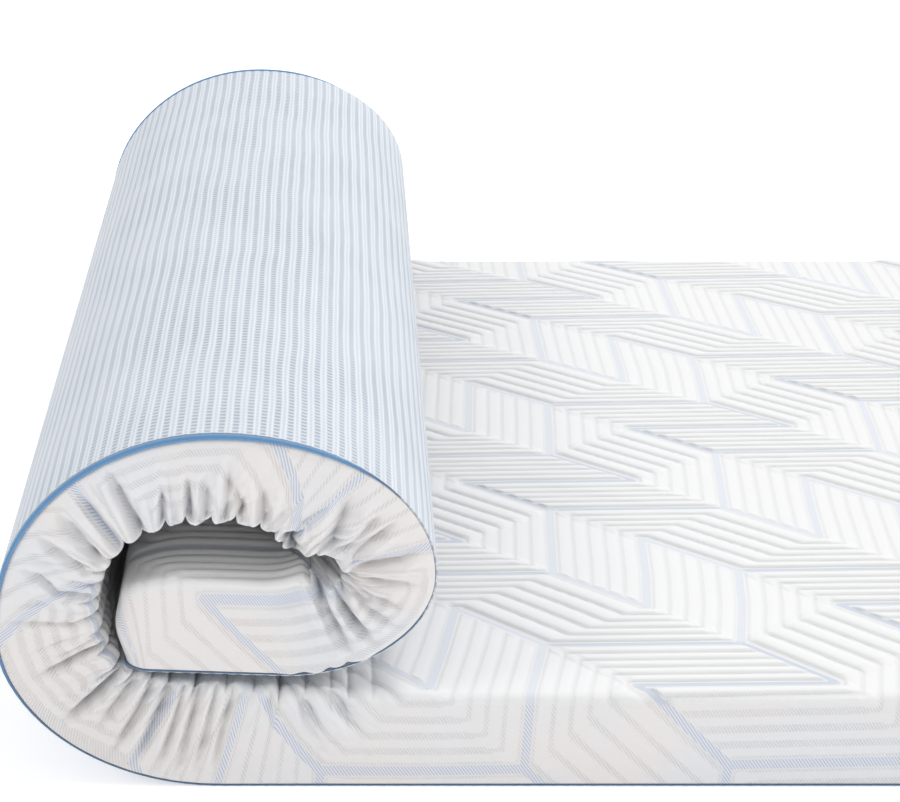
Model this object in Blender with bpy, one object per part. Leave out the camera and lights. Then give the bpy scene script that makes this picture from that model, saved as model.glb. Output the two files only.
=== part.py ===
"""Twin mattress topper lying on a floor, with its left end rolled up over itself.

The origin is on the floor, under the middle of the whole thing. +X runs along the
topper from the rolled end to the flat end, +Y runs away from the viewer, +Z is up.

The section is drawn in the X-Z plane along the underside. Distance s runs along that
underside: zero where the roll leaves the floor, negative on the flat stretch, and
growing round the roll to the tucked-in end. Each section rib goes from a point on the
underside to a point on the top face, which lies inside the roll and is bunched there
into gathers.
"""
import math

import bmesh
import bpy
import numpy as np

# Driving sizes of the flat topper
LENGTH = 1.905
WIDTH = 0.9906
THICKNESS = 0.0762

# Cover construction
PANEL_THICKNESS = 0.0012
TOUCH_GAP = 0.0003
PIPING_RADIUS = 0.0018
PIPING_SIDES = 6
PIPING_HEIGHT = 0.0021
PIPING_PROUD = 0.0003
PANEL_INSET = 0.0017
SEAM_RUN = 0.0034
SEAM_RISE = 0.0036

# Rounding of the filled body
PLAN_CORNER = 0.018
TOP_ROUND = 0.009
TOP_ROUND_MIDDLE = TOP_ROUND * (1 - math.sqrt(0.5))
TOP_BORDER = 0.027
SIDE_CROWN = 0.0020
SIDE_CROWN_HEIGHTS = (0.33, 0.66)
END_CROWN = 0.0020
END_CROWN_INSET = 0.060
# The swollen middle of an end face, from the underside up: height share, and inset in y
END_CROWN_RING = (
    (0.30, 0.020),
    (0.34, 0.000),
    (0.40, 0.000),
    (0.55, 0.000),
    (0.64, 0.000),
    (0.68, 0.002),
    (0.70, 0.006),
    (0.70, 0.020),
)

# The roll's underside: quarter ellipses as (middle x, middle z, half width, half height),
# x measured from where the roll leaves the floor
LOWER_LEFT = (-0.0040, 0.1350, 0.1640, 0.1350)
UPPER_LEFT = (-0.0035, 0.1350, 0.1645, 0.1500)
UPPER_RIGHT = (-0.0035, 0.1755, 0.1570, 0.1095)
LOWER_RIGHT = (0.0470, 0.1755, 0.1065, 0.0815)
TUCKED_END = (-0.0725, 0.0980)
SAMPLE_ANGLE = math.radians(1.0)

# Where the top face passes inside the roll, as (s, x, z)
TOP_FACE = (
    (-0.240, 0.2400, THICKNESS),
    (-0.160, 0.1600, THICKNESS),
    (-0.080, 0.0790, 0.0790),
    (0.000, 0.0185, 0.0845),
    (0.084, -0.0385, 0.0890),
    (0.163, -0.0775, 0.1030),
    (0.235, -0.0930, 0.1400),
    (0.315, -0.0865, 0.1740),
    (0.400, -0.0605, 0.2020),
    (0.488, -0.0115, 0.2150),
    (0.562, 0.0335, 0.2085),
    (0.630, 0.0655, 0.1960),
    (0.689, 0.0850, 0.1790),
    (0.734, 0.0830, 0.1690),
    (0.783, 0.0655, 0.1665),
    (0.837, 0.0355, 0.1685),
    (0.890, -0.0095, 0.1710),
    (0.957, -0.0725, 0.1715),
)

# Gathers of the top face: s of each groove between two lobes, and the groove's depth
GATHERS_START = -0.130
FLOOR_GROOVES = (-0.112, -0.094, -0.080, -0.058, -0.033, -0.007, 0.021, 0.052, 0.083, 0.105)
FLOOR_GROOVE_DEPTH = 0.0045
WALL_GROOVES = (0.130, 0.156, 0.185, 0.210, 0.235, 0.260, 0.290, 0.315, 0.343)
WALL_GROOVE_DEPTH = 0.0060
CEILING_GROOVES = (0.378, 0.407, 0.438, 0.461, 0.491, 0.518, 0.547, 0.567, 0.590)
CEILING_GROOVE_DEPTH = 0.0062
FOLD_GROOVES = (0.612, 0.636, 0.660, 0.686, 0.710, 0.735, 0.760, 0.786)
FOLD_GROOVE_DEPTH = 0.0040
GATHERS_END = 0.812
LOBE_ROUNDNESS = 2.4
LOBE_STATIONS = (0.0, 0.12, 0.34, 0.66, 0.88)
SIDE_PLEAT_SHARE = 0.55
PLEAT_FADE = 0.25

# Spacing of the section ribs outside the gathers
FLAT_RIBS = 7
TUCKED_RIBS = 6
END_RIBS = (0.0105, SEAM_RUN, 0.0018, 0.0005)
COVER_PITCH = 0.007
COVER_BEND_START = -0.02
CORNER_STEPS = 5

COVER_COLOUR = (0.86, 0.86, 0.88, 1.0)
UNDERSIDE_COLOUR = (0.70, 0.78, 0.88, 1.0)
PIPING_COLOUR = (0.08, 0.27, 0.55, 1.0)


def quarter(shape, start_deg, end_deg):
    """Points of a quarter ellipse in the X-Z plane, end points included."""
    mid_x, mid_z, half_w, half_h = shape
    steps = max(2, int(abs(math.radians(end_deg - start_deg)) / SAMPLE_ANGLE))
    angles = np.radians(np.linspace(start_deg, end_deg, steps + 1))
    return np.column_stack((mid_x + half_w * np.cos(angles), mid_z + half_h * np.sin(angles)))


def rolled_underside():
    """The underside from the floor round the roll to the tucked end, with its lengths."""
    arcs = (
        quarter(LOWER_LEFT, 270, 180),
        quarter(UPPER_LEFT, 180, 90)[1:],
        quarter(UPPER_RIGHT, 90, 0)[1:],
        quarter(LOWER_RIGHT, 0, -90)[1:],
        np.array([TUCKED_END]),
    )
    points = np.vstack(arcs)
    steps = np.linalg.norm(np.diff(points, axis=0), axis=1)
    return np.concatenate(([0.0], np.cumsum(steps))), points


ROLL_S, ROLL_POINTS = rolled_underside()
ROLLED_LENGTH = float(ROLL_S[-1])
FLAT_LENGTH = LENGTH - ROLLED_LENGTH
# The outermost points are the roll's left side and the piping round the flat end
RIGHT_REACH = FLAT_LENGTH + PIPING_PROUD + PIPING_RADIUS * math.cos(math.pi / PIPING_SIDES)
LEFT_REACH = LOWER_LEFT[2] - LOWER_LEFT[0]
TOUCH_X = (LEFT_REACH - RIGHT_REACH) / 2


def underside(s):
    """Point of the underside at s, before the shift to TOUCH_X."""
    if s <= 0:
        return np.array((-s, 0.0))
    if s >= ROLLED_LENGTH:
        run = ROLL_POINTS[-1] - ROLL_POINTS[-2]
        return ROLL_POINTS[-1] + run / np.linalg.norm(run) * (s - ROLLED_LENGTH)
    x = np.interp(s, ROLL_S, ROLL_POINTS[:, 0])
    z = np.interp(s, ROLL_S, ROLL_POINTS[:, 1])
    return np.array((x, z))


def inward(s):
    """Unit normal at s, from the underside into the filling."""
    reach = 0.004
    run = underside(s + reach) - underside(s - reach)
    run /= np.linalg.norm(run)
    return np.array((run[1], -run[0]))


def top_face_line(s):
    """Smooth line of the top face at s, through the TOP_FACE points."""
    rows = np.array(TOP_FACE)
    if s <= rows[0, 0]:
        return np.array((-s, THICKNESS))
    if s >= rows[-1, 0]:
        return underside(s) + rows[-1, 1:] - underside(rows[-1, 0])
    slopes = np.gradient(rows[:, 1:], rows[:, 0], axis=0)
    i = int(np.searchsorted(rows[:, 0], s, side="right")) - 1
    span = rows[i + 1, 0] - rows[i, 0]
    f = (s - rows[i, 0]) / span
    start = (1 + 2 * f) * (1 - f) ** 2 * rows[i, 1:] + f * (1 - f) ** 2 * span * slopes[i]
    end = f * f * (3 - 2 * f) * rows[i + 1, 1:] + f * f * (f - 1) * span * slopes[i + 1]
    return start + end


def all_grooves():
    """Every groove as (s, depth), in order, with none left at either end of the gathers."""
    grooves = [(GATHERS_START, 0.0)]
    grooves += [(s, FLOOR_GROOVE_DEPTH) for s in FLOOR_GROOVES]
    grooves += [(s, WALL_GROOVE_DEPTH) for s in WALL_GROOVES]
    grooves += [(s, CEILING_GROOVE_DEPTH) for s in CEILING_GROOVES]
    grooves += [(s, FOLD_GROOVE_DEPTH) for s in FOLD_GROOVES]
    return grooves + [(GATHERS_END, 0.0)]


GROOVES = all_grooves()
LOBES = list(zip(GROOVES, GROOVES[1:]))


def groove_depth(s):
    """How far the top face dips at s: none on top of a lobe, most in a groove."""
    for (start, start_depth), (end, end_depth) in LOBES:
        if start <= s <= end:
            across = 2 * (s - start) / (end - start) - 1
            depth = start_depth if across < 0 else end_depth
            return depth * abs(across) ** LOBE_ROUNDNESS
    return 0.0


def round_inset(distance, radius):
    """How far a rounded edge draws in at a distance from the end it turns into."""
    if distance >= radius:
        return 0.0
    return radius - math.sqrt(radius ** 2 - (radius - max(distance, 0.0)) ** 2)


def gathered_stations():
    """Values of s from the flat end to the tucked end where the body has a rib."""
    flat = np.linspace(PLAN_CORNER - FLAT_LENGTH, GATHERS_START, FLAT_RIBS, endpoint=False)
    lobed = [a + f * (b - a) for (a, _), (b, _) in LOBES for f in LOBE_STATIONS]
    tucked = np.linspace(GATHERS_END, ROLLED_LENGTH - PLAN_CORNER, TUCKED_RIBS)
    return [*flat, *lobed, *tucked]


def body_half_ring(s, distance):
    """One side of a rib as (y, x, z), from the underside up, at a distance from an end."""
    foot = underside(s)
    normal = inward(s)
    crest = top_face_line(s)
    dip = groove_depth(s)
    crest = crest + (foot - crest) / np.linalg.norm(foot - crest) * dip
    pleat = SIDE_PLEAT_SHARE * dip
    half = WIDTH / 2 - round_inset(distance, PLAN_CORNER)
    base = PANEL_THICKNESS + TOUCH_GAP
    shoulder = base + SEAM_RISE
    bottom = base + SEAM_RISE * max(0.0, 1 - distance / SEAM_RUN)
    seam_y = WIDTH / 2 - SEAM_RUN - round_inset(distance - SEAM_RUN, PLAN_CORNER - SEAM_RUN)
    if distance < SEAM_RUN:
        seam_y = min(seam_y, half - SEAM_RUN / 2)
    low = foot + normal * shoulder
    height = np.linalg.norm(crest - low)
    top = height - round_inset(distance, TOP_ROUND)
    up = (crest - low) / height
    points = [(seam_y, foot + normal * bottom), (half, low)]
    for part in SIDE_CROWN_HEIGHTS:
        fade = max(0.0, (part - PLEAT_FADE) / (1 - PLEAT_FADE))
        points.append((half + SIDE_CROWN - pleat * fade, low + up * height * part))
    points.append((half - pleat, low + up * (top - TOP_ROUND)))
    points.append((half - TOP_ROUND_MIDDLE - pleat, low + up * (top - TOP_ROUND_MIDDLE)))
    points.append((half - TOP_ROUND, low + up * top))
    points.append((half - TOP_BORDER, low + up * top))
    return [(y, p[0], p[1]) for y, p in points]


def mirrored_ring(half_ring):
    """The whole rib, as points round it, from one side's points."""
    right = [(x + TOUCH_X, y, z) for y, x, z in half_ring]
    left = [(x + TOUCH_X, -y, z) for y, x, z in reversed(half_ring)]
    return right + left


def crown_ring(s_end, outward):
    """Small ring that swells the middle of an end face; outward is the sign of s there."""
    foot = underside(s_end)
    crest = top_face_line(s_end)
    push = underside(s_end + outward * END_CROWN) - foot
    half = WIDTH / 2 - END_CROWN_INSET
    ring = []
    for height, inset in END_CROWN_RING:
        point = foot + (crest - foot) * height + push
        ring.append((half - inset, point[0], point[1]))
    return mirrored_ring(ring)


def loft(name, rings, closed_path):
    """Skin over equal rings of points: a tube, closed on itself or capped at its ends."""
    mesh = bmesh.new()
    loops = [[mesh.verts.new(point) for point in ring] for ring in rings]
    pairs = list(zip(loops, loops[1:]))
    if closed_path:
        pairs.append((loops[-1], loops[0]))
    else:
        mesh.faces.new(loops[0])
        mesh.faces.new(loops[-1])
    for one, two in pairs:
        for i in range(len(one)):
            j = (i + 1) % len(one)
            mesh.faces.new((one[i], one[j], two[j], two[i]))
    bmesh.ops.recalc_face_normals(mesh, faces=mesh.faces)
    data = bpy.data.meshes.new(name)
    mesh.to_mesh(data)
    mesh.free()
    data.shade_smooth()
    data.set_sharp_from_angle(angle=math.radians(50))
    return data


def build_body():
    """Filled body in its knit cover, top and sides in one, gathered inside the roll."""
    flat_end, tucked_end = -FLAT_LENGTH, ROLLED_LENGTH
    rings = [crown_ring(flat_end, -1)]
    for distance in reversed(END_RIBS):
        rings.append(mirrored_ring(body_half_ring(flat_end + distance, distance)))
    for s in gathered_stations():
        rings.append(mirrored_ring(body_half_ring(s, PLAN_CORNER)))
    for distance in END_RIBS:
        rings.append(mirrored_ring(body_half_ring(tucked_end - distance, distance)))
    rings.append(crown_ring(tucked_end, 1))
    return loft("topper_body", rings, closed_path=False)


def cover_stations(inset, corner):
    """Values of s for a cover piece, as (s, distance from its end), ends included."""
    start, stop = -FLAT_LENGTH + inset, ROLLED_LENGTH - inset
    turned = [corner * (1 - math.cos(math.pi / 2 * k / CORNER_STEPS)) for k in range(CORNER_STEPS)]
    near = [(start + d, d) for d in turned]
    far = [(stop - d, d) for d in reversed(turned)]
    flat = np.linspace(start + corner, COVER_BEND_START, FLAT_RIBS, endpoint=False)
    bent = np.linspace(COVER_BEND_START, stop - corner, int((stop - corner) / COVER_PITCH))
    return near + [(float(s), corner) for s in [*flat, *bent]] + far


def build_underside():
    """Flat sheet of striped spacer mesh, cut just inside the piping."""
    corner = PLAN_CORNER - PANEL_INSET
    rings = []
    for s, distance in cover_stations(PANEL_INSET, corner):
        half = WIDTH / 2 - PANEL_INSET - round_inset(distance, corner)
        outer = underside(s)
        inner = outer + inward(s) * PANEL_THICKNESS
        corners = ((half, outer), (half, inner), (-half, inner), (-half, outer))
        rings.append([(p[0] + TOUCH_X, y, p[1]) for y, p in corners])
    return loft("underside_panel", rings, closed_path=False)


def piping_ring(s, y, turn):
    """Ring of the piping round its seam; turn is 0 on the sides, and 90 degrees on an end."""
    normal = inward(s)
    along = np.array((normal[1], -normal[0]))
    middle = underside(s) + normal * PIPING_HEIGHT
    ring = []
    for k in range(PIPING_SIDES):
        angle = 2 * math.pi * k / PIPING_SIDES + math.pi / 2
        out = PIPING_RADIUS * math.cos(angle)
        up = PIPING_RADIUS * math.sin(angle)
        point = middle + along * out * math.sin(turn) + normal * up
        ring.append((point[0] + TOUCH_X, y + out * math.cos(turn), point[1]))
    return ring


def build_piping():
    """Round piping sewn all the way round the bottom edge."""
    corner = PLAN_CORNER + PIPING_PROUD
    half = WIDTH / 2 + PIPING_PROUD
    stations = cover_stations(-PIPING_PROUD, corner)
    back = []
    front = []
    for s, distance in stations:
        slope = math.acos(max(-1.0, min(1.0, 1 - distance / corner)))
        turn = math.pi / 2 - slope
        if s > 0:
            turn = -turn
        y = half - round_inset(distance, corner)
        back.append(piping_ring(s, y, turn))
        front.append(piping_ring(s, -y, math.pi - turn))
    return loft("edge_piping", back + front[::-1], closed_path=True)


def make_material(name, colour, roughness):
    """Cloth finish of one piece."""
    material = bpy.data.materials.new(name)
    material.use_nodes = True
    shader = material.node_tree.nodes["Principled BSDF"]
    shader.inputs["Base Color"].default_value = colour
    shader.inputs["Roughness"].default_value = roughness
    shader.inputs["Metallic"].default_value = 0.0
    material.diffuse_color = colour
    return material


def add_piece(mesh, material):
    """Puts a piece in the scene under its own name."""
    piece = bpy.data.objects.new(mesh.name, mesh)
    piece.data.materials.append(material)
    bpy.context.scene.collection.objects.link(piece)
    return piece


def main():
    for item in list(bpy.data.objects):
        bpy.data.objects.remove(item)
    add_piece(build_body(), make_material("knit_cover", COVER_COLOUR, 0.90))
    add_piece(build_underside(), make_material("striped_mesh", UNDERSIDE_COLOUR, 0.85))
    add_piece(build_piping(), make_material("blue_piping", PIPING_COLOUR, 0.70))


main()
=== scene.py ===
"""Visual model of a twin mattress topper whose left end is rolled up over itself.

The section repeats the CAD model's: distance s runs along the underside, zero where the
roll leaves the floor, negative on the flat stretch, positive round the roll. A point of
the cover is a place (s, y) on the cloth and a height n above the underside's outer face.
"""
import math
import bpy
import numpy as np
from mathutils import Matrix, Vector


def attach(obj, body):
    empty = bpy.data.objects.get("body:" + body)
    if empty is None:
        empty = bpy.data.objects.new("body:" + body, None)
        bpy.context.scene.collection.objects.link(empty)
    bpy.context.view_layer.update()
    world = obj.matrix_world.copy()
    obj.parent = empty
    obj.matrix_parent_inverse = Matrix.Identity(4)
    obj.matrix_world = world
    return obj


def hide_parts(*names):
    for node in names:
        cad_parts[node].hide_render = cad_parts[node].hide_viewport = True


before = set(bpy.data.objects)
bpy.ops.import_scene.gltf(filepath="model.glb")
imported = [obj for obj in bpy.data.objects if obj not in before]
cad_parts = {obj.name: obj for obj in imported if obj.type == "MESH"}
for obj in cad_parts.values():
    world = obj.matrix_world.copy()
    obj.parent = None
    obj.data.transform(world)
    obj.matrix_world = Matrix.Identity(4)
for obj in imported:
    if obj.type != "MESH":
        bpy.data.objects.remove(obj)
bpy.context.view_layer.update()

# -------- driving sizes, metres
LENGTH = 1.905
WIDTH = 0.9906
THICKNESS = 0.0762
PANEL_THICKNESS = 0.0012
COVER_BASE = 0.0015
PIPING_RADIUS = 0.0018
PIPING_HEIGHT = 0.0021
PIPING_PROUD = 0.0003
PANEL_INSET = 0.0017
SEAM_RUN = 0.0034
SEAM_RISE = 0.0036
SHOULDER = COVER_BASE + SEAM_RISE
PLAN_CORNER = 0.018
TOP_ROUND = 0.009
SIDE_CROWN = 0.0020

# The underside round the roll, as quarter ellipses: middle x, middle z, half width, half
# height; then the place (x, z) where the tucked end's underside stops
LOWER_LEFT = (-0.0040, 0.1350, 0.1640, 0.1350)
UPPER_LEFT = (-0.0035, 0.1350, 0.1645, 0.1500)
UPPER_RIGHT = (-0.0035, 0.1755, 0.1570, 0.1095)
LOWER_RIGHT = (0.0470, 0.1755, 0.1065, 0.0815)
TUCKED_END = (-0.0725, 0.0980)
SAMPLE_ANGLE = math.radians(1.0)
NORMAL_REACH = 0.004
# Length of the straight leads before and after the section's line
LEAD = 2.0

# The top face's line: s, then its place (x, z) in the section
TOP_FACE = np.array((
    (-0.240, 0.2400, THICKNESS), (-0.160, 0.1600, THICKNESS), (-0.080, 0.0790, 0.0790),
    (0.000, 0.0185, 0.0845), (0.084, -0.0385, 0.0890), (0.163, -0.0775, 0.1030),
    (0.235, -0.0930, 0.1400), (0.315, -0.0865, 0.1740), (0.400, -0.0605, 0.2020),
    (0.488, -0.0115, 0.2150), (0.562, 0.0335, 0.2085), (0.630, 0.0655, 0.1960),
    (0.689, 0.0850, 0.1790), (0.734, 0.0830, 0.1690), (0.783, 0.0655, 0.1665),
    (0.837, 0.0355, 0.1685), (0.890, -0.0095, 0.1710), (0.957, -0.0725, 0.1715),
))

# Gathers on the floor, the wall, the ceiling and in the fold: depth, then s of each groove
GATHERS_START = -0.130
GATHERS = (
    (0.0060, (-0.112, -0.094, -0.080, -0.058, -0.033, -0.007, 0.021, 0.052, 0.083, 0.105)),
    (0.0060, (0.130, 0.156, 0.185, 0.210, 0.235, 0.260, 0.290, 0.315, 0.343)),
    (0.0062, (0.378, 0.407, 0.438, 0.461, 0.491, 0.518, 0.547, 0.567, 0.590)),
    (0.0040, (0.612, 0.636, 0.660, 0.686, 0.710, 0.735, 0.760, 0.786)),
)
GATHERS_END = 0.812
# The first grooves are shallow: this share of their depth at the start, all of it from here
SHALLOW_FROM = 0.25
SHALLOW_UNTIL = -0.020
LOBE_ROUNDNESS = 3.4
GROOVE_SPREAD = (0.55, 1.30)
GROOVE_SEED = 11

# The roll's fullness against the CAD section, in X and Z, at the near and at the far end
FULL_FROM = 0.090
ROLL_TOP = 0.285
WIDENING_RATE = 2.4
FULLER_NEAR = (0.0025, 0.0028)
FULLER_FAR = (0.0045, 0.0080)
FULLER_WIDTH = 0.018

# The tucked end: how far its end face swells, and how its top drops towards the end
END_SWELL = 0.0040
END_DROP = 0.0120
END_DROP_RUN = 0.050

# Bulges that close the tight fold near both ends of the roll: s, reach along s, height
BULGE_FROM = 0.400
END_BULGES = (
    (0.608, 0.032, 0.0130),
    (0.792, 0.030, 0.0085),
)

# -------- the knit's repeat
UNIT_X = 0.07585
UNIT_Y = 0.059
REPEAT_ORIGIN = (0.4472, 0.1782)
PERIOD_U = 2
PERIOD_V = 8
ROW_TILT = (0.036, 0.032)
TILT_MIDDLE = 0.367
TILT_FROM = 0.150
TILT_REACH = 0.490
ACROSS_SHRINK = 0.012
# How the pattern drifts towards the near edge: y, then its shift along and across
NEAR_DRIFT = (
    (-0.5500, 0.0690, 0.0015), (-0.4900, 0.0690, 0.0000), (-0.4200, 0.0535, 0.0040),
    (-0.3500, 0.0401, 0.0060), (-0.2950, 0.0338, 0.0070), (-0.2300, 0.0295, 0.0085),
    (-0.1700, 0.0253, 0.0085), (-0.1100, 0.0194, 0.0070), (0.0000, 0.0099, 0.0050),
    (0.1500, 0.0000, 0.0040),
)
# How the pattern creeps round the roll: s, then its shift along and across
ROLL_CREEP = (
    (0.000, 0.000, 0.000), (0.060, -0.006, -0.003), (0.250, -0.008, -0.010),
    (0.500, -0.015, -0.014), (0.640, -0.017, -0.016), (0.780, -0.007, -0.019),
    (0.835, -0.002, -0.020), (0.906, -0.014, -0.021), (0.961, -0.014, -0.022),
)
RIBS_A_UNIT = 5
RIB_ROUNDNESS = 2.5
BAND_SHARE = 0.060
BAND_HALF = 0.0036
BAND_EDGE = (0.85 * BAND_HALF, 1.35 * BAND_HALF)
# Bands that don't run straight across are a little narrower. On the curl's side faces,
# where the photo shows none of them, they are narrowed away.
TOP_BAND_NARROWER = 0.0011
CURL_BAND_NARROWER = 0.0065
CURL_RANGE = (0.066, 0.080, 0.205, 0.225)
RIB_RELIEF = 0.0018
SIDE_RELIEF_SHARE = 0.10
# Where the side face begins, as a share of the way down
SIDE_BEGINS = (0.045, 0.115)
# Directions of the ribs, and how full the ribs of each direction are
ALONG, ACROSS, SLANTED = 0, 1, 2
FULLNESS = (1.0, 0.17, 1.10)
FULLNESS_BLEND = 0.006
SIDE_STRETCH = 0.78

# -------- creases of the side faces
CREASE_SEED = 7
CREASE_DEPTH = 0.0078
CREASE_WIDTH = 0.0036
CREASE_FADE = 0.45
CREASE_SHARPNESS = 1.25
STEEP_SIDE = 0.55
GENTLE_SIDE = 1.5
FULL_GROOVE = 0.0060
FORK_DEPTH = 0.0028
FORK_WIDTH = 0.0032
# Spread of each crease's lean, reach, depth and width, and of its fork's start, lean, reach
LEAN_SPREAD = (-0.006, 0.006)
REACH_SPREAD = (0.24, 0.52)
DEPTH_SPREAD = (0.75, 1.2)
WIDTH_SPREAD = (0.8, 1.35)
FORK_SPREAD = (0.007, 0.012)
FORK_LEAN_SPREAD = (-0.014, 0.014)
FORK_REACH_SPREAD = (0.5, 1.0)
WRINKLE_DEPTH = 0.0009
# Wrinkles: size along s, how many down the side, seed
COARSE_WRINKLES = (0.0085, 4.0, 3)
FINE_WRINKLES = (0.0042, 9.0, 4)
FINE_SHARE = 0.5
WRINKLES_END = 1.02
WRINKLE_FADE = 0.3
LATTICE = 64
# Long folds of the roll's face, in millimetres: width, depth, and the path
# from the roll's mouth outwards as (x, z) in the section
MM = 0.001
LONG_FOLDS = (
    (3.0, 6.0, ((-57, 209), (-68, 237), (-79, 261))),
    (2.8, 5.0, ((-73, 199), (-87, 222), (-101, 243))),
    (3.4, 4.2, ((-88, 192), (-103, 213), (-116, 227))),
    (2.2, 3.2, ((-97, 182), (-115, 196), (-131, 209))),
    (2.2, 3.6, ((-96, 159), (-118, 162), (-130, 176), (-144, 181))),
    (2.2, 2.4, ((-109, 137), (-152, 139))),
    (1.8, 4.0, ((-89, 126), (-108, 116), (-126, 108))),
    (2.0, 6.6, ((-76, 124), (-104, 111), (-134, 95))),
    (2.1, 7.2, ((-69, 103), (-94, 79), (-120, 56))),
    (2.4, 4.2, ((-59, 98), (-77, 74), (-94, 52))),
    (2.0, 4.2, ((-51, 89), (-63, 65), (-83, 30))),
    (2.4, 4.4, ((-39, 84), (-51, 57), (-67, 20))),
    (1.9, 3.4, ((-29, 83), (-37, 53), (-49, 15))),
    (2.2, 3.8, ((-17, 83), (-25, 53), (-36, 12))),
    (1.8, 2.8, ((-5, 83), (-12, 53), (-22, 16))),
    (2.0, 3.2, ((8, 83), (0, 53), (-9, 14))),
    (1.8, 5.0, ((-41, 218), (-40, 243))),
    (1.8, 5.5, ((-21, 222), (-22, 252))),
    (2.6, 4.5, ((-10, 222), (-8, 251))),
    (2.8, 4.8, ((4, 221), (8, 263))),
    (2.4, 4.5, ((16, 213), (12, 252))),
    (2.6, 4.5, ((30, 209), (32, 249))),
    (4.0, 5.5, ((79, 199), (94, 241))),
    (2.6, 4.5, ((88, 196), (114, 224))),
    (2.2, 4.8, ((94, 192), (126, 220))),
    (2.4, 4.8, ((94, 183), (129, 189), (144, 197))),
    (2.0, 3.5, ((93, 178), (118, 171), (143, 169))),
    (2.6, 4.2, ((90, 176), (107, 160), (131, 150))),
    (2.6, 4.2, ((88, 173), (106, 150), (128, 135))),
    (2.6, 7.5, ((77, 187), (86, 169), (92, 154))),
    (2.4, 7.5, ((73, 181), (86, 155), (97, 139), (111, 123))),
    (2.6, 6.5, ((70, 176), (77, 149), (89, 124), (97, 112))),
    (2.2, 9.0, ((62, 188), (69, 168), (73, 148))),
    (3.0, 11.0, ((49, 206), (55, 186), (70, 173))),
    (3.4, 6.0, ((59, 93), (86, 72), (101, 49))),
    (3.4, 6.5, ((79, 98), (112, 81), (122, 61))),
    (3.4, 6.0, ((92, 103), (130, 83), (148, 72))),
    (3.0, 4.5, ((36, 91), (58, 78), (73, 49))),
)
FOLD_WIDENING = 1.20
FOLD_DEEPENING = 1.70
FOLD_SHARPNESS = 1.2
FOLD_FADE = 2.6
FOLD_END = 1.05
# The ridge beside a fold: height, place and width against the fold's depth and width
RIDGE_HEIGHT = 0.35
RIDGE_PLACE = 2.6
RIDGE_WIDTH = 1.3
# Where the creases are calmer, and where all of them begin and end, by s
CALM_SHARE = 0.72
CALM_RANGE = (0.10, 0.20, 0.34, 0.42)
CREASED_RANGE = (GATHERS_START, GATHERS_START + 0.06, GATHERS_END - 0.04, GATHERS_END + 0.05)
# Painted shade of the slit under the tucked end, by s and by how far inside the edge
SLIT_SHADE = 0.0120
SLIT_RANGE = (-0.095, -0.035, 0.108, 0.130)
SLIT_INSET = (0.0015, 0.0095)
SLIT_DOWN = 0.5
GROOVE_SHADE = 0.5
# Lean of the creases, as s, and how much s changes from the top edge down to the piping
CREASE_LEAN = (
    (-0.140, -0.110), (-0.085, -0.085), (-0.050, -0.045), (-0.020, 0.018),
    (0.030, 0.034), (0.120, 0.020), (0.230, -0.020), (0.330, -0.028),
    (0.450, 0.012), (0.560, 0.020), (0.640, 0.000), (0.700, -0.010),
    (0.812, 0.020),
)

# -------- mesh spacing
FLAT_STEP = 0.0022
ACROSS_STEP = 0.0024
ROLL_FINE_RUN = 0.150
ROLL_FINE_STEP = 0.0030
ROLL_INSIDE_COLUMNS = 56
LOBE_STEPS = 19
TUCKED_ROWS = 60
BORDER_STEPS = 4
ROUND_STEPS = 8
SEAM_STEPS = 3
UNDER_REACH = 3 * SEAM_RUN
FLAT_LEVELS = 22
ROLL_LEVELS = 42
CORNER_COLUMNS = 10

# -------- mesh panel and piping
BENT_FROM = -0.02
STRIPE_PITCH = 0.0098
STRIPE_STEPS = 6
STRIPE_RELIEF = 0.00015
RIDGES_FROM = 0.02
RIDGES_END = 0.01
DASH_PITCH = 0.0057
DOTS_A_STRIPE = 4
PANEL_COLUMNS = 41
SHARP_ANGLE = math.radians(60)
PIPING_SIDES = 12
PIPING_FLAT_STEP = 0.012
PIPING_BENT_STEP = 0.0035
PIPING_WIDTH_STEPS = 90
PIPING_TURN_STEPS = 8
PIPING_TUCK = 0.0020
PIPING_LIFT = 0.0016
PIPING_LIFT_FROM = 0.7
# How full the piping shows: s, then the share of its full radius
PIPING_SIZES = (
    (-0.960, 0.42), (0.120, 0.36), (0.185, 0.52), (0.240, 0.75), (0.320, 1.00),
    (0.480, 1.15), (0.560, 0.85), (0.605, 0.42), (0.640, 0.24), (0.700, 0.24),
    (0.740, 0.36), (0.820, 0.32), (0.900, 0.38), (0.970, 0.46),
)


# ======== small helpers
def smooth(share):
    """Smooth step of a share within 0..1."""
    return share * share * (3 - 2 * share)


def reached(value, start, stop):
    """Share of the way from start to stop, kept within 0..1."""
    return np.clip((value - start) / (stop - start), 0, 1)


def plateau(value, corners):
    """0 outside the four corners, 1 between the middle two, straight in between."""
    return np.interp(value, corners, (0.0, 1.0, 1.0, 0.0))


def look_up(table, value, column=1):
    """Value of one column of a table, straight between its rows; the first column rises."""
    rows = np.array(table)
    return np.interp(value, rows[:, 0], rows[:, column])


def grid_faces(rows, columns):
    """Faces of a grid of points that is stored row by row."""
    i, j = np.meshgrid(np.arange(rows - 1), np.arange(columns - 1), indexing="ij")
    a = (i * columns + j).ravel()
    return np.stack((a, a + 1, a + columns + 1, a + columns), -1)


# ======== section of the topper
def quarter(shape, start_deg, end_deg):
    """Points of a quarter ellipse in the X-Z plane, end points included."""
    mid_x, mid_z, half_w, half_h = shape
    steps = max(2, int(abs(math.radians(end_deg - start_deg)) / SAMPLE_ANGLE))
    angles = np.radians(np.linspace(start_deg, end_deg, steps + 1))
    return np.column_stack((mid_x + half_w * np.cos(angles), mid_z + half_h * np.sin(angles)))


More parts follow.
